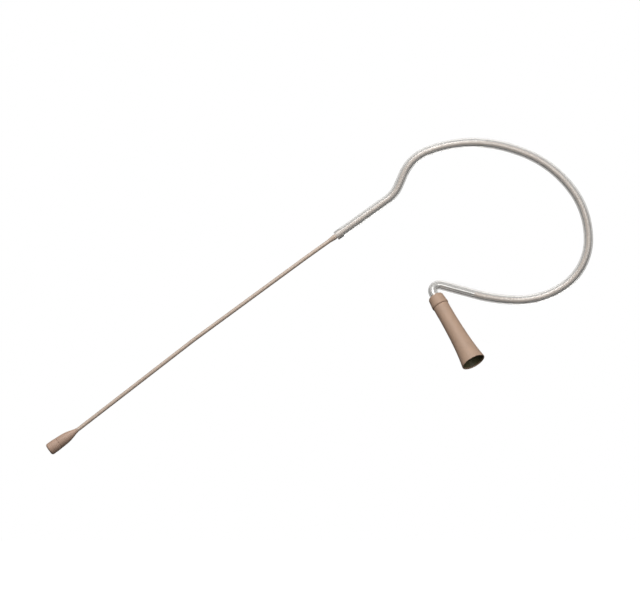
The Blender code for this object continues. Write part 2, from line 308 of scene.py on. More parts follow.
def bump(tree, shader, height, strength, distance):
    """Gives the shader's surface the height's relief."""
    made = node(tree, "ShaderNodeBump", {"Height": height, "Strength": strength, "Distance": distance})
    tree.links.new(made.outputs["Normal"], shader.inputs["Normal"])


def node_group(name, kind, inputs, outputs):
    """A tree with named sockets, its inputs for nodes to read and its outputs for them to fill."""
    tree = bpy.data.node_groups.new(name, kind)
    for socket_name, socket_type, default in inputs:
        socket = tree.interface.new_socket(socket_name, in_out="INPUT", socket_type=socket_type)
        if default is not None:
            socket.default_value = default
    for socket_name, socket_type in outputs:
        tree.interface.new_socket(socket_name, in_out="OUTPUT", socket_type=socket_type)
    return tree, tree.nodes.new("NodeGroupInput").outputs, tree.nodes.new("NodeGroupOutput").inputs


def tree_named(name, builder):
    """The node tree of this name, built the first time that it is asked for."""
    return bpy.data.node_groups.get(name) or builder(name)


# ---- shader groups shared by the finishes ----
def grain_group(name):
    """Fine moulded or painted grain: a height, and slow mottling of the colour."""
    tree, given, result = node_group(
        name,
        "ShaderNodeTree",
        [
            ("Place", "NodeSocketVector", None),
            ("Grain", "NodeSocketFloat", 5000.0),
            ("Mottle", "NodeSocketFloat", 500.0),
        ],
        [("Height", "NodeSocketFloat"), ("Mottling", "NodeSocketFloat"), ("Speckle", "NodeSocketFloat")],
    )
    place = given["Place"]
    fine = node(tree, "ShaderNodeTexNoise", {"Vector": place, "Scale": given["Grain"], "Detail": 4.0})
    pits = node(tree, "ShaderNodeTexVoronoi", {"Vector": place, "Scale": given["Grain"]})
    slow = node(tree, "ShaderNodeTexNoise", {"Vector": place, "Scale": given["Mottle"], "Detail": 3.0})
    pit_share = 0.4
    height = sums(tree, "MULTIPLY_ADD", pits.outputs["Distance"], pit_share, fine.outputs["Fac"])
    tree.links.new(height, result["Height"])
    tree.links.new(spread(tree, slow.outputs["Fac"], 0.3, 0.7), result["Mottling"])
    tree.links.new(spread(tree, fine.outputs["Fac"], 0.62, 0.74), result["Speckle"])
    return tree


def wear_group(name):
    """Handling wear: a mask that is strongest on the rims, broken up by noise."""
    tree, given, result = node_group(
        name,
        "ShaderNodeTree",
        [("Place", "NodeSocketVector", None), ("Amount", "NodeSocketFloat", 0.5)],
        [("Wear", "NodeSocketFloat")],
    )
    rims = node(tree, "ShaderNodeAttribute", attribute_name="rim").outputs["Fac"]
    breaks = node(tree, "ShaderNodeTexNoise", {"Vector": given["Place"], "Scale": 1800.0, "Detail": 5.0})
    broken = sums(tree, "MULTIPLY", rims, breaks.outputs["Fac"])
    tree.links.new(spread(tree, broken, 0.18, 0.5, top=given["Amount"]), result["Wear"])
    return tree


def scratch_group(name):
    """Fine drawing lines, and smears that dull the shine in patches."""
    tree, given, result = node_group(
        name,
        "ShaderNodeTree",
        [("Place", "NodeSocketVector", None), ("Stretch", "NodeSocketVector", DRAWN_ALONG)],
        [("Height", "NodeSocketFloat"), ("Dullness", "NodeSocketFloat")],
    )
    stretched = vectors(tree, "MULTIPLY", given["Place"], given["Stretch"])
    lines = node(tree, "ShaderNodeTexNoise", {"Vector": stretched, "Scale": 1.0, "Detail": 3.0})
    smears = node(tree, "ShaderNodeTexNoise", {"Vector": given["Place"], "Scale": 420.0, "Detail": 2.0})
    tree.links.new(lines.outputs["Fac"], result["Height"])
    tree.links.new(spread(tree, smears.outputs["Fac"], 0.35, 0.7), result["Dullness"])
    return tree


# ---- finishes ----
def lighter(colour, factor):
    return tuple(min(1.0, part * factor) for part in colour)


def rgba(colour):
    return (*colour[:3], 1.0)


def blank_finish(name):
    made = bpy.data.materials.new(name)
    made.use_nodes = True
    tree = made.node_tree
    return made, tree, tree.nodes["Principled BSDF"]


def place_of(tree, swept):
    """Where a pattern reads its place: along and round a swept piece, or straight from the object."""
    if swept:
        return node(tree, "ShaderNodeAttribute", attribute_name="unrolled").outputs["Vector"]
    return node(tree, "ShaderNodeTexCoord").outputs["Object"]


def colour_mix(tree, factor, first, second):
    made = node(tree, "ShaderNodeMix", {"Factor": factor}, data_type="RGBA")
    colours = [socket for socket in made.inputs if socket.type == "RGBA"]
    for socket, colour in zip(colours, (first, second)):
        if isinstance(colour, bpy.types.NodeSocket):
            tree.links.new(colour, socket)
        else:
            socket.default_value = rgba(colour)
    return [socket for socket in made.outputs if socket.type == "RGBA"][0]


def moulded(name, colour, roughness, swept=True, grain=5200.0, depth=0.000012, wear=0.35, coat=0.0):
    """Tan or dark moulding and paint: grain, slow mottling, speckle and worn rims."""
    made, tree, shader = blank_finish(name)
    place = place_of(tree, swept)
    grains = shared_group(tree, "Moulded Grain", grain_group, place)
    grains.inputs["Grain"].default_value = grain
    worn = shared_group(tree, "Handling Wear", wear_group, place)
    worn.inputs["Amount"].default_value = wear
    dark, pale = (lighter(colour, shade) for shade in MOTTLE_SHADES)
    base = colour_mix(tree, grains.outputs["Mottling"], dark, pale)
    base = colour_mix(tree, grains.outputs["Speckle"], base, lighter(colour, SPECKLE_SHADE))
    base = colour_mix(tree, worn.outputs["Wear"], base, lighter(colour, WORN_SHADE))
    tree.links.new(base, shader.inputs["Base Color"])
    mottle_roughness = 0.12
    smoothest = roughness - 0.05
    rough = sums(tree, "MULTIPLY_ADD", grains.outputs["Mottling"], mottle_roughness, smoothest)
    worn_roughness = -0.15
    rough = sums(tree, "MULTIPLY_ADD", worn.outputs["Wear"], worn_roughness, rough)
    tree.links.new(rough, shader.inputs["Roughness"])
    bump(tree, shader, grains.outputs["Height"], strength=0.6, distance=depth)
    shader.inputs["Specular IOR Level"].default_value = 0.42
    shader.inputs["Coat Weight"].default_value = coat
    shader.inputs["Coat Roughness"].default_value = 0.3
    return made


def metal(name, colour, roughness, swept=False):
    """Drawn, turned or plated metal: fine lines, dull smears and a faint tint change."""
    made, tree, shader = blank_finish(name)
    place = place_of(tree, swept)
    lines = shared_group(tree, "Drawing Lines", scratch_group, place)
    shiny, dull = (lighter(colour, shade) for shade in SMEAR_SHADES)
    base = colour_mix(tree, lines.outputs["Dullness"], shiny, dull)
    tree.links.new(base, shader.inputs["Base Color"])
    smear_roughness = 0.1
    rough = sums(tree, "MULTIPLY_ADD", lines.outputs["Dullness"], smear_roughness, roughness)
    tree.links.new(rough, shader.inputs["Roughness"])
    bump(tree, shader, lines.outputs["Height"], strength=0.35, distance=0.000002)
    shader.inputs["Metallic"].default_value = 1.0
    return made


def silicone(name, tint):
    """Clear silicone, faintly cloudy, with a soft ripple left by the extruder."""
    made, tree, shader = blank_finish(name)
    grains = shared_group(tree, "Moulded Grain", grain_group, place_of(tree, swept=True))
    grains.inputs["Grain"].default_value = 900.0
    grains.inputs["Mottle"].default_value = 300.0
    base = colour_mix(tree, grains.outputs["Mottling"], lighter(tint, CLOUD_SHADE), tint)
    tree.links.new(base, shader.inputs["Base Color"])
    smoothest = 0.14
    cloud_roughness = 0.05
    rough = sums(tree, "MULTIPLY_ADD", grains.outputs["Mottling"], cloud_roughness, smoothest)
    tree.links.new(rough, shader.inputs["Roughness"])
    bump(tree, shader, grains.outputs["Height"], strength=0.15, distance=0.000004)
    shader.inputs["Transmission Weight"].default_value = 0.8
    shader.inputs["IOR"].default_value = 1.41
    return made


def finish_named(name, maker, *values, **options):
    """The material of this name, made the first time that it is asked for."""
    return bpy.data.materials.get(name) or maker(name, *values, **options)


def tan_boot():
    return finish_named("Boot Tan", moulded, bpy.context.scene.headset_colours.boot, 0.6)


def tan_capsule():
    colour = bpy.context.scene.headset_colours.capsule
    return finish_named("Capsule Tan", moulded, colour, 0.52, grain=6500.0, depth=0.000008)


def tan_coat():
    colour = bpy.context.scene.headset_colours.coat
    options = {"grain": 4000.0, "depth": 0.000005, "wear": 0.2, "coat": 0.5}
    return finish_named("Coat Tan", moulded, colour, 0.38, **options)


def steel():
    return finish_named("Polished Steel", metal, (0.82, 0.82, 0.81), 0.12, swept=True)


# ---- routes ----
def along(distance):
    return Matrix.Translation((0, 0, distance))


def walk(place, rows, tail):
    """Stations along a bent tube, as (distance, place), each place's Z running along the tube."""
    distance = 0.0
    stations = [(distance, place)]
    for feed, roll, radius, bend in rows:
        if feed:
            distance += feed
            place = place @ along(feed)
            stations.append((distance, place))
        steps = math.ceil(abs(bend) / TURN_STEP)
        to_centre = Matrix.Translation((math.copysign(radius, bend), 0, 0))
        centre = Matrix.Rotation(roll * DEG, 4, "Z") @ to_centre
        turn = centre @ Matrix.Rotation(bend * DEG / steps, 4, "Y") @ centre.inverted()
        for _ in range(steps):
            distance += abs(bend) * DEG * radius / steps
            place = place @ turn
            stations.append((distance, place))
    stations.append((distance + tail, place @ along(tail)))
    return stations


def place_at(stations, distance):
    """The place at a distance that lies on a straight stretch."""
    hair = 1e-9
    before = [entry for entry in stations if entry[0] <= distance + hair][-1]
    return before[1] @ along(distance - before[0])


def straight(place, length):
    return [(0.0, place), (length, place @ along(length))]


def mouth_place():
    """The sleeve's mouth: local Z runs into the loop, local Y outwards from the head."""
    rise = Vector((math.cos(SLEEVE_RISE * DEG), 0, math.sin(SLEEVE_RISE * DEG)))
    outwards = Vector((0, -1, 0))
    facing = Matrix((outwards.cross(rise), outwards, rise)).transposed().to_4x4()
    return Matrix.Translation(SLEEVE_MOUTH) @ facing


MOUTH = mouth_place()
AWAY = MOUTH @ Matrix.Rotation(180 * DEG, 4, "Y")
LOOP = walk(MOUTH, LOOP_BENDS, LOOP_TAIL)
HOOK_END = LOOP[-2][0]
NOSE_STATION = HOOK_END + NOSE_AFTER_HOOK
COAT_END = HOOK_END - LOOP_BENDS[-1][2] * LOOP_BENDS[-1][3] * DEG - COAT_END_BEFORE_HOOK
BOOT = straight(place_at(LOOP, NOSE_STATION), BOOT_LENGTH)
COLLAR = straight(AWAY @ along(YAW_STATION), PITCH_STATION - YAW_STATION)
BOOM = walk(AWAY @ along(PITCH_STATION), BOOM_BENDS, BOOM_TAIL)
NECK_STATION = BOOM[-2][0]
CAPSULE_STATION = NECK_STATION + NECK_AFTER_BEND
CAPSULE = straight(place_at(BOOM, CAPSULE_STATION), CAPSULE_LENGTH)


def guide(stations):
    """A curve along the stations, in metres, with the lead added at both ends."""
    first = stations[0][1] @ along(-LEAD)
    last = stations[-1][1] @ along(LEAD)
    places = [first, *(place for _, place in stations), last]
    curve = bpy.data.curves.new("route", "CURVE")
    curve.dimensions = "3D"
    curve.twist_mode = "MINIMUM"
    spline = curve.splines.new("POLY")
    spline.points.add(len(places) - 1)
    for point, place in zip(spline.points, places):
        point.co = (*(place.translation * MM), 1.0)
    made = bpy.data.objects.new("route", curve)
    bpy.context.scene.collection.objects.link(made)
    return made


# ---- outlines, as (radius, depth), the depth measured along the route ----
def rounded(corners, steps=5):
    """A closed outline whose corners, given as (radius, depth, rounding), become true arcs."""
    nearly_straight = 0.02
    most_of_edge = 0.45
    points = []
    for index, (radius, depth, rounding) in enumerate(corners):
        here = Vector((radius, depth))
        back = Vector(corners[index - 1][:2]) - here
        on = Vector(corners[(index + 1) % len(corners)][:2]) - here
        half = back.angle(on) / 2
        if rounding == 0 or math.pi / 2 - half < nearly_straight:
            points.append(here)
            continue
        reach = min(rounding / math.tan(half), most_of_edge * back.length, most_of_edge * on.length)
        size = reach * math.tan(half)
        centre = here + (back.normalized() + on.normalized()).normalized() * size / math.sin(half)
        start = here + back.normalized() * reach - centre
        sweep = start.angle_signed(here + on.normalized() * reach - centre)
        for step in range(steps + 1):
            points.append(centre + Matrix.Rotation(-sweep * step / steps, 2) @ start)
    return [(max(0.0, point.x), point.y) for point in points]


def smooth(points, steps=6):
    """A Catmull-Rom curve through the points, without its last point."""
    padded = [Vector(points[0]) * 2 - Vector(points[1]), *map(Vector, points)]
    padded.append(padded[-1] * 2 - padded[-2])
    curve = []
    for a, b, c, d in zip(padded, padded[1:], padded[2:], padded[3:]):
        for step in range(steps):
            t = step / steps
            bend = (2 * a - 5 * b + 4 * c - d) * t**2
            twist = (3 * b - a - 3 * c + d) * t**3
            curve.append(0.5 * (2 * b + (c - a) * t + bend + twist))
    return [(point.x, point.y) for point in curve]


def ring_of(points, rounding=0.0):
    return [(radius, depth, rounding) for radius, depth in points]


def tube_outline(stations, start, end, radius, bore, lip, first=None):
    """A tube's wall from start to end with rounded lips. first is the bore and depth of a wider entry."""
    end_margin = 0.3
    inner_lip = lip * 0.5
    inside = [place for place, _ in stations if start + end_margin < place < end - end_margin]
    outer = [(radius, start, lip), *((radius, place, 0) for place in inside), (radius, end, lip)]
    entry = [(bore, start, inner_lip)]
    if first:
        wide, depth = first
        step = start + depth
        slope = 0.12
        step_rounding = 0.05
        step_margin = 0.1
        wide_lip = lip * 0.6
        entry = [(bore, step, step_rounding), (wide, step - slope, step_rounding), (wide, start, wide_lip)]
        inside = [place for place in inside if place > step + step_margin]
    inner = [(bore, end, inner_lip), *((bore, place, 0) for place in reversed(inside)), *entry]
    return rounded(outer + inner)


def end_tree(tree, geometry, finish, result):
    """A geometry tree's last steps: smooth shading, real pieces and their finish."""
    shaded = node(tree, "GeometryNodeSetShadeSmooth", {"Geometry": geometry}).outputs["Geometry"]
    real = node(tree, "GeometryNodeRealizeInstances", {"Geometry": shaded}).outputs["Geometry"]
    finished = node(tree, "GeometryNodeSetMaterial", {"Geometry": real, "Material": finish})
    tree.links.new(finished.outputs["Geometry"], result)


# ---- the sweep tree: an outline carried round and along a route ----
def sweep_tree(name):
    """Turns a flat outline, X the radius and Z the depth from the guide's end, round the route."""
    tree, given, result = node_group(
        name,
        "GeometryNodeTree",
        [
            ("Outline", "NodeSocketGeometry", None),
            ("Route", "NodeSocketObject", None),
            ("Sides", "NodeSocketInt", 64),
            ("Rim Softness", "NodeSocketInt", 3),
            ("Finish", "NodeSocketMaterial", None),
        ],
        [("Piece", "NodeSocketGeometry")],
    )
    route = node(tree, "GeometryNodeObjectInfo", {"Object": given["Route"]}).outputs["Geometry"]
    outline = node(tree, "GeometryNodeMeshToCurve", {"Mesh": given["Outline"]}).outputs["Curve"]
    drawn = node(tree, "GeometryNodeCaptureAttribute", {"Geometry": outline}, domain="POINT")
    drawn.capture_items.new("VECTOR", "Drawn")
    tree.links.new(node(tree, "GeometryNodeInputPosition").outputs["Position"], drawn.inputs["Drawn"])
    circle = node(tree, "GeometryNodeCurvePrimitiveCircle", {"Resolution": given["Sides"], "Radius": 1.0})
    ring = circle.outputs["Curve"]
    turned = node(tree, "GeometryNodeCaptureAttribute", {"Geometry": ring}, domain="POINT")
    turned.capture_items.new("FLOAT", "Turn")
    tree.links.new(node(tree, "GeometryNodeSplineParameter").outputs["Factor"], turned.inputs["Turn"])
    sheet = node(
        tree,
        "GeometryNodeCurveToMesh",
        {"Curve": turned.outputs["Geometry"], "Profile Curve": drawn.outputs["Geometry"]},
    ).outputs["Mesh"]
    angle = sums(tree, "MULTIPLY", turned.outputs["Turn"], 360 * DEG)
    across = sums(tree, "COSINE", angle)
    outwards = sums(tree, "SINE", angle)
    point = node(tree, "ShaderNodeSeparateXYZ", {"Vector": drawn.outputs["Drawn"]}).outputs
    station = node(
        tree,
        "GeometryNodeSampleCurve",
        {"Curves": route, "Length": point["Z"]},
        mode="LENGTH",
        use_all_curves=True,
    ).outputs
    side = vectors(tree, "CROSS_PRODUCT", station["Tangent"], station["Normal"])
    flat = node(tree, "ShaderNodeVectorMath", {0: station["Normal"], "Scale": across}, operation="SCALE")
    upright = node(tree, "ShaderNodeVectorMath", {0: side, "Scale": outwards}, operation="SCALE")
    spoke = vectors(tree, "ADD", flat.outputs[0], upright.outputs[0])
    reach = node(tree, "ShaderNodeVectorMath", {0: spoke, "Scale": point["X"]}, operation="SCALE")
    position = vectors(tree, "ADD", station["Position"], reach.outputs[0])
    unrolled = node(
        tree,
        "ShaderNodeCombineXYZ",
        {
            "X": sums(tree, "MULTIPLY", across, point["X"]),
            "Y": sums(tree, "MULTIPLY", outwards, point["X"]),
            "Z": point["Z"],
        },
    )
    kept = node(
        tree,
        "GeometryNodeStoreNamedAttribute",
        {"Geometry": sheet, "Name": "unrolled", "Value": unrolled.outputs["Vector"]},
        data_type="FLOAT_VECTOR",
        domain="POINT",
    ).outputs["Geometry"]
    placed = node(tree, "GeometryNodeSetPosition", {"Geometry": kept, "Position": position}).outputs
    weld = {"Geometry": placed["Geometry"], "Distance": 0.001 * MM}
    closed = node(tree, "GeometryNodeMergeByDistance", weld)
    corner = node(tree, "GeometryNodeInputMeshEdgeAngle").outputs["Unsigned Angle"]
    # A corner that turns less than the first angle isn't a rim, and one past the second is a full one.
    sharp = spread(tree, corner, 0.09, 0.22)
    soft = node(
        tree,
        "GeometryNodeBlurAttribute",
        {"Value": sharp, "Iterations": given["Rim Softness"]},
        data_type="FLOAT",
    )
    rims = node(
        tree,
        "GeometryNodeStoreNamedAttribute",
        {"Geometry": closed.outputs["Geometry"], "Name": "rim", "Value": soft.outputs["Value"]},
        data_type="FLOAT",
        domain="POINT",
    )
    end_tree(tree, rims.outputs["Geometry"], given["Finish"], result["Piece"])
    return tree


def grown(name, drawing, tree, settings):
    """Runs a geometry tree on a drawn mesh and keeps its result as the plain mesh of a new piece."""
    piece = bpy.data.objects.new(name, drawing)
    bpy.context.scene.collection.objects.link(piece)
    modifier = piece.modifiers.new(tree.name, "NODES")
    modifier.node_group = tree
    for socket in tree.interface.items_tree:
        if socket.item_type == "SOCKET" and socket.name in settings:
            modifier[socket.identifier] = settings[socket.name]
    graph = bpy.context.evaluated_depsgraph_get()
    mesh = bpy.data.meshes.new_from_object(piece.evaluated_get(graph))
    piece.modifiers.clear()
    piece.data = mesh
    bpy.data.meshes.remove(drawing)
    mesh.name = name
    if len(mesh.polygons) == 0:
        raise RuntimeError(f"{name} came out empty")
    tidy = bmesh.new()
    tidy.from_mesh(mesh)
    bmesh.ops.recalc_face_normals(tidy, faces=tidy.faces)
    tidy.to_mesh(mesh)
    tidy.free()
    return piece


def swept(name, outline, stations, finish, sides=None):
    """A piece whose closed outline is turned round a straight or bent route."""
    points = [(radius * MM, 0, (depth + LEAD) * MM) for radius, depth in outline]
    edges = [(index, (index + 1) % len(points)) for index in range(len(points))]
    drawing = bpy.data.meshes.new(name + "_outline")
    drawing.from_pydata(points, edges, [])
    route = guide(stations)
    settings = {
        "Route": route,
        "Sides": sides or bpy.context.scene.headset_sizes.round_sides,
        "Finish": finish,
    }
    piece = grown(name, drawing, tree_named("Sweep Round Route", sweep_tree), settings)
    bpy.data.objects.remove(route, do_unlink=True)
    return piece


def stands_for(piece, body, slot, *nodes):
    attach(piece, body)
    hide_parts(*nodes)


# ---- one operator for each piece or group of like pieces ----
class ClearSleeve(bpy.types.Operator):
    """Build the clear silicone sleeve that rests on the ear"""

    bl_idname = "headset.clear_sleeve"
    bl_label = "Clear Sleeve"

    def execute(self, context):
        sizes = context.scene.headset_sizes
        finish = finish_named("Clear Silicone", silicone, context.scene.headset_colours.sleeve)
        radius = sizes.sleeve_radius / MM
        end = NOSE_STATION + SLEEVE_INTO_BOOT
        entry = (0.98, FERRULE_ROOM)
        outline = tube_outline(LOOP, 0.0, end, radius, bore=0.68, lip=0.14, first=entry)
        sleeve = swept("sleeve", outline, LOOP, finish)
        # The sleeve casts no shadow and shows in no reflection, so its core is lit as in the open.
        sleeve.visible_shadow = False
        sleeve.visible_diffuse = False
        sleeve.visible_glossy = False
        stands_for(sleeve, "ear_loop", "clear_silicone", "clear_sleeve")
        return {"FINISHED"}


class LoopCore(bpy.types.Operator):
    """Build the coated tube inside the sleeve, its bare steel end and the ferrule in the sleeve's mouth"""

    bl_idname = "headset.loop_core"
    bl_label = "Loop Core"

    def execute(self, context):
        radius = context.scene.headset_sizes.core_radius / MM
        outline = tube_outline(LOOP, FERRULE_ROOM, COAT_END, radius, bore=0.5, lip=0.06)
        coat = swept("core_coat", outline, LOOP, tan_coat(), CORE_SIDES)
        stands_for(coat, "ear_loop", "boom_tan", "loop_coat")
        end = NOSE_STATION + TUBE_PAST_NOSE
        outline = tube_outline(LOOP, TUBE_START, end, radius=0.47, bore=0.33, lip=0.03)
        tube = swept("core_tube", outline, LOOP, steel(), CORE_SIDES)
        stands_for(tube, "ear_loop", "steel", "loop_tube")
        corners = [
            (0.5, 0.05, 0.02),
            (0.7, 0.05, 0.05),
            (0.78, 0.15, 0.05),
            (0.92, 1.2, 0.1),
            (0.92, 1.65, 0.05),
            (0.8, 1.85, 0.05),
            (0.5, 1.85, 0.02),
        ]
        route = straight(MOUTH, FERRULE_ROOM)
        ferrule = swept("mouth_ferrule", rounded(corners), route, tan_coat(), CORE_SIDES)
        stands_for(ferrule, "ear_loop", "boom_tan", "core_ferrule")
        return {"FINISHED"}


class Boom(bpy.types.Operator):
    """Build the collar and the long coated boom"""

    bl_idname = "headset.boom"
    bl_label = "Boom"

    def execute(self, context):
        radius = context.scene.headset_sizes.boom_radius / MM
        taper = smooth([(0.71, 0.02), (0.76, 0.3), (0.72, 0.8), (0.65, 1.4), (0.61, 1.95)], 5)
        skirt = [(0.47, -0.1, 0.02), (0.47, -0.45, 0.02), (0.6, -0.45, 0.02), (0.6, -0.06, 0)]
        snug = radius + 0.01
        corners = skirt + ring_of(taper) + [
            (0.605, 2.1, 0.03),
            (snug, 2.1, 0.01),
            (snug, 1.3, 0.02),
            (0.47, 1.2, 0.02),
        ]
        collar = swept("collar", rounded(corners), COLLAR, tan_coat(), SLIM_SIDES)
        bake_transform(collar)
        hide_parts("boom_collar")

        outline = tube_outline(BOOM, BOOM_SKIN_START, CAPSULE_STATION, radius, bore=0.5, lip=0.02)
        coat = swept("boom_skin", outline, BOOM, tan_coat(), SLIM_SIDES)
        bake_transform(coat)
        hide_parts("boom_coat")
        return {"FINISHED"}


class Capsule(bpy.types.Operator):
    """Build the capsule's tapered housing and its push-on cap"""

    bl_idname = "headset.capsule"
    bl_label = "Capsule"

    def execute(self, context):
        shoulder = smooth(
            [(0.61, -0.05), (0.68, 0.4), (0.82, 0.9), (1.06, 1.7), (1.32, 2.7), (1.5, 3.7), (1.6, 4.8)]
        )
        corners = ring_of(shoulder) + [
            (1.6, 4.8, 0),
            (CAP_RADIUS - SEAM_DROP, CAP_SEAM - HALF_SEAM, 0.04),
            (1.14, CAP_SEAM - HALF_SEAM, 0.02),
            (1.14, 4.3, 0.02),
            (0.96, 3.4, 0.05),
            (0.96, 3.1, 0.02),
            (0.575, 2.8, 0.05),
            (0.575, -0.05, 0.02),
        ]
        housing = swept("housing", rounded(corners), CAPSULE, tan_capsule())
        stands_for(housing, "boom", "capsule_tan", "capsule_housing")
        front = CAPSULE_LENGTH
        dome = []
        for step in range(DOME_STEPS + 1):
            angle = step / DOME_STEPS * 90 * DEG
            radius = CAP_RADIUS - CAP_ROUNDING * (1 - math.cos(angle))
            dome.append((radius, front - CAP_ROUNDING * (1 - math.sin(angle))))
        corners = [
            (1.15, CAP_SEAM + HALF_SEAM, 0.02),
            (CAP_RADIUS - SEAM_DROP, CAP_SEAM + HALF_SEAM, 0.04),
            (CAP_RADIUS, 7.5, 0),
            *ring_of(dome),
            (0.74, front, 0.07),
            (0.68, front - 0.3, 0.05),
            (1.12, front - 0.34, 0.03),
        ]
        cap = swept("cap", rounded(corners, 8), CAPSULE, tan_capsule())
        stands_for(cap, "cap", "capsule_tan", "acoustic_cap")
        return {"FINISHED"}


def weave_tree(name):
    """Plain-woven wire cloth, cut round: each wire passes over and under its neighbours in turn."""
    tree, given, result = node_group(
        name,
        "GeometryNodeTree",
        [
            ("Blank", "NodeSocketGeometry", None),
            ("Cloth Radius", "NodeSocketFloat", 1.0 * MM),
            ("Pitch", "NodeSocketFloat", 0.13 * MM),
            ("Wire Radius", "NodeSocketFloat", 0.03 * MM),
            ("Finish", "NodeSocketMaterial", None),
        ],
        [("Cloth", "NodeSocketGeometry")],
    )
    half_count = sums(tree, "FLOOR", sums(tree, "DIVIDE", given["Cloth Radius"], given["Pitch"]))
    edge = sums(tree, "MULTIPLY", half_count, given["Pitch"])
    count = sums(tree, "MULTIPLY_ADD", half_count, 2.0, 1.0)
    start = node(tree, "ShaderNodeCombineXYZ", {"X": sums(tree, "MULTIPLY", edge, -1.0)})
    step = node(tree, "ShaderNodeCombineXYZ", {"X": given["Pitch"]})
    row = node(
        tree,
        "GeometryNodeMeshLine",
        {"Count": count, "Start Location": start.outputs["Vector"], "Offset": step.outputs["Vector"]},
        mode="OFFSET",
    ).outputs["Mesh"]
    index = node(tree, "GeometryNodeInputIndex").outputs["Index"]
    marked = node(tree, "GeometryNodeCaptureAttribute", {"Geometry": row}, domain="POINT")
    marked.capture_items.new("FLOAT", "Turn About")
    tree.links.new(sums(tree, "MODULO", index, 2.0), marked.inputs["Turn About"])
    ends = {"Start": (0, -1, 0), "End": (0, 1, 0)}
    wire = node(tree, "GeometryNodeCurvePrimitiveLine", ends).outputs["Curve"]
    position = node(tree, "GeometryNodeInputPosition").outputs["Position"]
    place = node(tree, "ShaderNodeSeparateXYZ", {"Vector": position})
    square = sums(tree, "MULTIPLY", given["Cloth Radius"], given["Cloth Radius"])
    offset = sums(tree, "MULTIPLY", place.outputs["X"], place.outputs["X"])
    chord = sums(tree, "SQRT", sums(tree, "SUBTRACT", square, offset))
    length = node(tree, "ShaderNodeCombineXYZ", {"X": 1.0, "Y": chord, "Z": 1.0})
    rows = node(
        tree,
        "GeometryNodeInstanceOnPoints",
        {"Points": marked.outputs["Geometry"], "Instance": wire, "Scale": length.outputs["Vector"]},
    ).outputs["Instances"]
    loose = node(tree, "GeometryNodeRealizeInstances", {"Geometry": rows}).outputs["Geometry"]
    points_per_pitch = 5.0
    fine = node(
        tree,
        "GeometryNodeResampleCurve",
        {"Curve": loose, "Length": sums(tree, "DIVIDE", given["Pitch"], points_per_pitch)},
        mode="LENGTH",
    ).outputs["Curve"]
    cloth = node(tree, "GeometryNodeJoinGeometry")
    for quarter_turn in (0, 1):
        phase = sums(tree, "ADD", marked.outputs["Turn About"], float(quarter_turn))
        phase = sums(tree, "ADD", sums(tree, "DIVIDE", place.outputs["Y"], given["Pitch"]), phase)
        wave = sums(tree, "COSINE", sums(tree, "MULTIPLY", phase, 180 * DEG))
        lift = node(tree, "ShaderNodeCombineXYZ", {"Z": sums(tree, "MULTIPLY", wave, given["Wire Radius"])})
        waved = node(tree, "GeometryNodeSetPosition", {"Geometry": fine, "Offset": lift.outputs["Vector"]})
        turned = node(
            tree,
            "GeometryNodeTransform",
            {"Geometry": waved.outputs["Geometry"], "Rotation": (0, 0, 90 * DEG * quarter_turn)},
        )
        tree.links.new(turned.outputs["Geometry"], cloth.inputs["Geometry"])
    circle = {"Resolution": 6, "Radius": given["Wire Radius"]}
    section = node(tree, "GeometryNodeCurvePrimitiveCircle", circle)
    solid = node(
        tree,
        "GeometryNodeCurveToMesh",
        {"Curve": cloth.outputs["Geometry"], "Profile Curve": section.outputs["Curve"], "Fill Caps": True},
    )
    end_tree(tree, solid.outputs["Mesh"], given["Finish"], result["Cloth"])
    return tree


class CapScreen(bpy.types.Operator):
    """Weave the steel screen behind the cap's opening and its pressed rim"""

    bl_idname = "headset.cap_screen"
    bl_label = "Cap Screen"

    def execute(self, context):
        finish = finish_named("Screen Steel", metal, (0.5, 0.49, 0.47), 0.3)
        blank = bpy.data.meshes.new("blank")
        blank.from_pydata([(0, 0, 0)], [], [])
        pitch = context.scene.headset_sizes.screen_pitch
        settings = {"Cloth Radius": SCREEN_RADIUS * MM, "Pitch": pitch, "Finish": finish}
        cloth = grown("screen_cloth", blank, tree_named("Woven Screen", weave_tree), settings)
        place = CAPSULE[0][1] @ along(SCREEN_DEPTH)
        place.translation *= MM
        cloth.data.transform(place)
        corners = [(0.92, 9.12, 0.02), (0.92, 9.24, 0.04), (1.08, 9.24, 0.03), (1.08, 9.1, 0.03)]
        rim = swept("screen_rim", rounded(corners), CAPSULE, finish, SLIM_SIDES)
        stands_for(rim, "cap", "screen_steel", "cap_screen")
        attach(cloth, "cap")
        return {"FINISHED"}


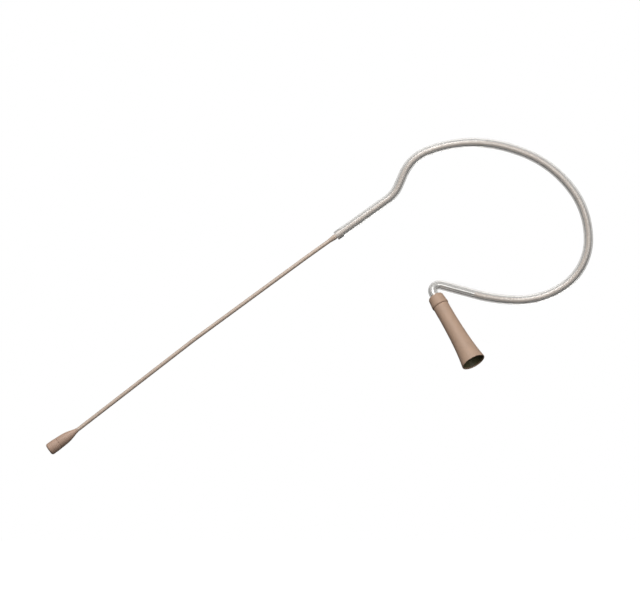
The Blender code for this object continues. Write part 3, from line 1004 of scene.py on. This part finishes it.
class ConnectorBoot(bpy.types.Operator):
    """Build the boot's nose and its flared shell"""

    bl_idname = "headset.connector_boot"
    bl_label = "Connector Boot"

    def execute(self, context):
        corners = [
            (1.4, 0.0, 0.06),
            (1.98, 0.0, 0.18),
            (2.2, 0.35, 0.2),
            (2.46, 2.95, 0.12),
            (2.4, NOSE_DEPTH - 0.08, 0.06),
            (2.28, NOSE_DEPTH, 0.04),
            (1.75, NOSE_DEPTH, 0.03),
            (1.75, 2.1, 0.03),
            (1.4, 1.95, 0.03),
        ]
        nose = swept("nose", rounded(corners), BOOT, tan_boot(), BOOT_SIDES)
        stands_for(nose, "ear_loop", "boot_tan", "boot_nose")
        waist = [(2.27, 3.42), (2.27, 5.5), (2.29, 8.0), (2.42, 12.0)]
        flare = smooth(waist + [(2.58, 15.0), (2.79, 17.7), (3.04, 20.0), (3.3, 21.8)])
        corners = ring_of(flare) + [
            (3.42, 22.5, 0.1),
            (3.45, BOOT_LENGTH, 0.12),
            (3.12, BOOT_LENGTH, 0.1),
            (2.9, 20.6, 0.1),
            (2.84, 19.95, 0.05),
            (1.65, 19.95, 0.05),
            (1.65, 4.2, 0.05),
            (0.62, 4.2, 0.05),
            (0.62, 2.3, 0.05),
            (1.68, 2.3, 0.05),
            (1.68, 3.36, 0.03),
            (2.2, 3.36, 0.03),
        ]
        shell = swept("shell", rounded(corners), BOOT, tan_boot(), BOOT_SIDES)
        stands_for(shell, "ear_loop", "boot_tan", "boot_shell")
        return {"FINISHED"}


class Socket(bpy.types.Operator):
    """Build the dark cup and its painted-shade lining in the boot's mouth, the socket's plated sleeve, its
    insulator and its contact
    """

    bl_idname = "headset.socket"
    bl_label = "Socket"

    def execute(self, context):
        colour = context.scene.headset_colours.bezel
        finish = finish_named("Bezel Olive", moulded, colour, 0.42, grain=6000.0, wear=0.6)
        # The cup's wall runs on up the inside of the boot's mouth as a thin dark lining over the boot's
        # tan: painted shade. The cup itself is the socket's own dark olive.
        corners = [
            (1.45, 20.05, 0.03),
            (2.76, 20.05, 0.03),
            (2.82, 20.6, 0.05),
            (3.03, 22.6, 0.03),
            (2.97, 22.6, 0.03),
            (2.74, 20.95, 0.06),
            (2.2, 20.95, 0.05),
            (2.15, 20.8, 0.05),
            (1.75, 20.8, 0.05),
            (1.7, 20.95, 0.05),
            (1.5, 20.95, 0.05),
            (1.45, 20.85, 0.03),
        ]
        bezel = swept("bezel", rounded(corners), BOOT, finish, BEZEL_SIDES)
        stands_for(bezel, "ear_loop", "bezel_olive", "socket_bezel")
        finish = finish_named("Nickel Plate", metal, (0.6, 0.58, 0.54), 0.26)
        corners = [(1.3, 11.8, 0.03), (1.58, 11.8, 0.03), (1.58, 19.6, 0.08), (1.3, 19.6, 0.1)]
        sleeve = swept("socket_tube", rounded(corners), BOOT, finish, SOCKET_SIDES)
        stands_for(sleeve, "ear_loop", "nickel", "socket_sleeve")
        finish = finish_named("Insulator Plastic", moulded, (0.07, 0.065, 0.045), 0.5, swept=True)
        corners = [
            (0.42, 11.8, 0.03),
            (1.26, 11.8, 0.03),
            (1.26, 17.4, 0.08),
            (0.5, 17.4, 0.08),
            (0.42, 17.25, 0.03),
        ]
        insulator = swept("insulator", rounded(corners), BOOT, finish, SOCKET_SIDES)
        stands_for(insulator, "ear_loop", "socket_plastic", "socket_insulator")
        finish = finish_named("Contact Gold", metal, (0.86, 0.62, 0.26), 0.2, swept=True)
        corners = [(0.2, 11.8, 0.02), (0.38, 11.8, 0.02), (0.38, 18.2, 0.07), (0.2, 18.2, 0.1)]
        contact = swept("contact", rounded(corners), BOOT, finish, SLIM_SIDES)
        stands_for(contact, "ear_loop", "gold", "centre_contact")
        return {"FINISHED"}


class InnerPieces(bpy.types.Operator):
    """Give every piece inside the microphone its metal, plastic or rubber"""

    bl_idname = "headset.inner_pieces"
    bl_label = "Inner Pieces"

    def execute(self, context):
        brass = ("Turned Brass", metal, (0.72, 0.5, 0.2), 0.28)
        gold = ("Gold Plate", metal, (0.86, 0.62, 0.26), 0.2)
        copper = ("Enamelled Copper", metal, (0.66, 0.3, 0.16), 0.3)
        solder = ("Solder", metal, (0.56, 0.56, 0.57), 0.34)
        nickel = ("Nickel Plate", metal, (0.6, 0.58, 0.54), 0.26)
        wire_steel = ("Boom Steel", metal, (0.62, 0.62, 0.61), 0.22)
        film = ("Film Plastic", moulded, (0.75, 0.68, 0.5), 0.42)
        epoxy = ("Black Epoxy", moulded, (0.03, 0.03, 0.032), 0.4)
        board = ("Board Green", moulded, (0.05, 0.16, 0.08), 0.5)
        rubber = ("Seal Rubber", moulded, (0.05, 0.045, 0.04), 0.7)
        plastic = ("Socket Plastic", moulded, (0.07, 0.065, 0.045), 0.5)
        finishes = {
            "boom_tube": wire_steel,
            "capsule_can": nickel,
            "crimp_ferrule": brass,
            "diaphragm_ring": brass,
            "backplate": brass,
            "diaphragm": gold,
            "gate_contact": gold,
            "loop_signal_wire": gold,
            "boom_signal_wire": gold,
            "loop_ground_wire": copper,
            "boom_ground_wire": copper,
            "socket_solder_signal": solder,
            "socket_solder_ground": solder,
            "board_solder_signal": solder,
            "board_solder_ground": solder,
            "spacer_washer": film,
            "insulator_cup": film,
            "amplifier_chip": epoxy,
            "potting_plug": epoxy,
            "amplifier_board": board,
            "rear_seal": rubber,
            "socket_back": plastic,
        }
        for name, (title, maker, colour, roughness) in finishes.items():
            materials = frame["nodes"][name].data.materials
            materials.clear()
            materials.append(finish_named(title, maker, colour, roughness, swept=False))
        return {"FINISHED"}


class Stage(bpy.types.Operator):
    """Set up the pale floor, the soft lights and the camera"""

    bl_idname = "headset.stage"
    bl_label = "Stage"

    def execute(self, context):
        settings = context.scene.headset_stage
        self.floor(settings)
        self.sky()
        middle = (CAD_LOW + CAD_HIGH) / 2
        for name, (place, share, shines) in LIGHTS.items():
            lamp = self.light(name, middle + Vector(place), middle, settings.key_strength * share)
            lamp.visible_glossy = shines
        self.camera(settings, middle)
        context.scene.view_settings.view_transform = "Standard"
        return {"FINISHED"}

    def floor(self, settings):
        maker = bmesh.new()
        level = Matrix.Translation((0, 0, CAD_LOW.z - settings.floor_drop))
        bmesh.ops.create_circle(maker, cap_ends=True, segments=96, radius=8.0, matrix=level)
        mesh = bpy.data.meshes.new("floor")
        maker.to_mesh(mesh)
        maker.free()
        floor = bpy.data.objects.new("floor", mesh)
        bpy.context.scene.collection.objects.link(floor)
        made, tree, shader = blank_finish("Pale Floor")
        place = node(tree, "ShaderNodeTexCoord").outputs["Object"]
        slow = node(tree, "ShaderNodeTexNoise", {"Vector": place, "Scale": 2.0})
        paler = lighter(settings.floor_colour, 1.03)
        shade = colour_mix(tree, slow.outputs["Fac"], settings.floor_colour, paler)
        tree.links.new(shade, shader.inputs["Base Color"])
        tree.links.new(shade, shader.inputs["Emission Color"])
        shader.inputs["Emission Strength"].default_value = 0.85
        shader.inputs["Roughness"].default_value = 0.9
        mesh.materials.append(made)
        floor.visible_diffuse = False
        floor.visible_glossy = False

    def sky(self):
        """A white room: full brightness behind the object, softer where it lights the object."""
        world = bpy.data.worlds.new("White Room")
        bpy.context.scene.world = world
        world.use_nodes = True
        tree = world.node_tree
        backdrop = tree.nodes["Background"]
        direction = node(tree, "ShaderNodeTexCoord").outputs["Generated"]
        height = node(tree, "ShaderNodeSeparateXYZ", {"Vector": direction}).outputs["Z"]
        glow = spread(tree, height, -0.35, 0.5, bottom=0.05, top=0.35)
        seen = node(tree, "ShaderNodeLightPath").outputs
        direct = sums(tree, "MAXIMUM", seen["Is Camera Ray"], seen["Is Transmission Ray"])
        strength = node(tree, "ShaderNodeMix", {"Factor": direct, "A": glow, "B": 1.0}, data_type="FLOAT")
        tree.links.new(strength.outputs["Result"], backdrop.inputs["Strength"])
        backdrop.inputs["Color"].default_value = (1, 1, 1, 1)

    def light(self, name, place, target, power):
        data = bpy.data.lights.new(name, "AREA")
        data.size = LIGHT_SIZE
        data.energy = power
        lamp = bpy.data.objects.new(name, data)
        lamp.location = place
        lamp.rotation_euler = (target - place).to_track_quat("-Z", "Y").to_euler()
        lamp.visible_camera = False
        lamp.visible_transmission = False
        bpy.context.scene.collection.objects.link(lamp)
        return lamp

    def camera(self, settings, middle):
        """Level with the object and square to the plane of the loop and the boom."""
        data = bpy.data.cameras.new("Camera")
        data.lens = settings.focal_length
        data.clip_start = 0.05
        data.clip_end = 9.0
        camera = bpy.data.objects.new("Camera", data)
        distance = settings.focal_length / data.sensor_width * SHOWN_WIDTH
        camera.location = (middle.x + SHOWN_RIGHT * MM, -distance, middle.z + SHOWN_ABOVE * MM)
        camera.rotation_euler = (90 * DEG, 0, 0)
        bpy.context.scene.collection.objects.link(camera)
        bpy.context.scene.camera = camera


class HeadsetPanel(bpy.types.Panel):
    """The microphone's pieces and settings"""

    bl_idname = "VIEW3D_PT_headset"
    bl_label = "Headset Microphone"
    bl_space_type = "VIEW_3D"
    bl_region_type = "UI"
    bl_category = "Headset"

    def draw(self, context):
        for operator in OPERATORS:
            self.layout.operator(operator.bl_idname)
        for group in SETTINGS:
            settings = getattr(context.scene, group)
            box = self.layout.box()
            for name in settings.__annotations__:
                box.prop(settings, name)


SETTINGS = {"headset_sizes": HeadsetSizes, "headset_colours": HeadsetColours, "headset_stage": HeadsetStage}
OPERATORS = (ClearSleeve, LoopCore, Boom, Capsule, CapScreen, ConnectorBoot, Socket, InnerPieces, Stage)


def register():
    for made in (*SETTINGS.values(), *OPERATORS, HeadsetPanel):
        bpy.utils.register_class(made)
    for name, group in SETTINGS.items():
        setattr(bpy.types.Scene, name, PointerProperty(type=group))


def unregister():
    for name in SETTINGS:
        delattr(bpy.types.Scene, name)
    for made in (HeadsetPanel, *reversed(OPERATORS), *SETTINGS.values()):
        bpy.utils.unregister_class(made)


def main():
    register()
    for operator in OPERATORS:
        family, name = operator.bl_idname.split(".")
        getattr(getattr(bpy.ops, family), name)()


if __name__ == "__main__":
    main()
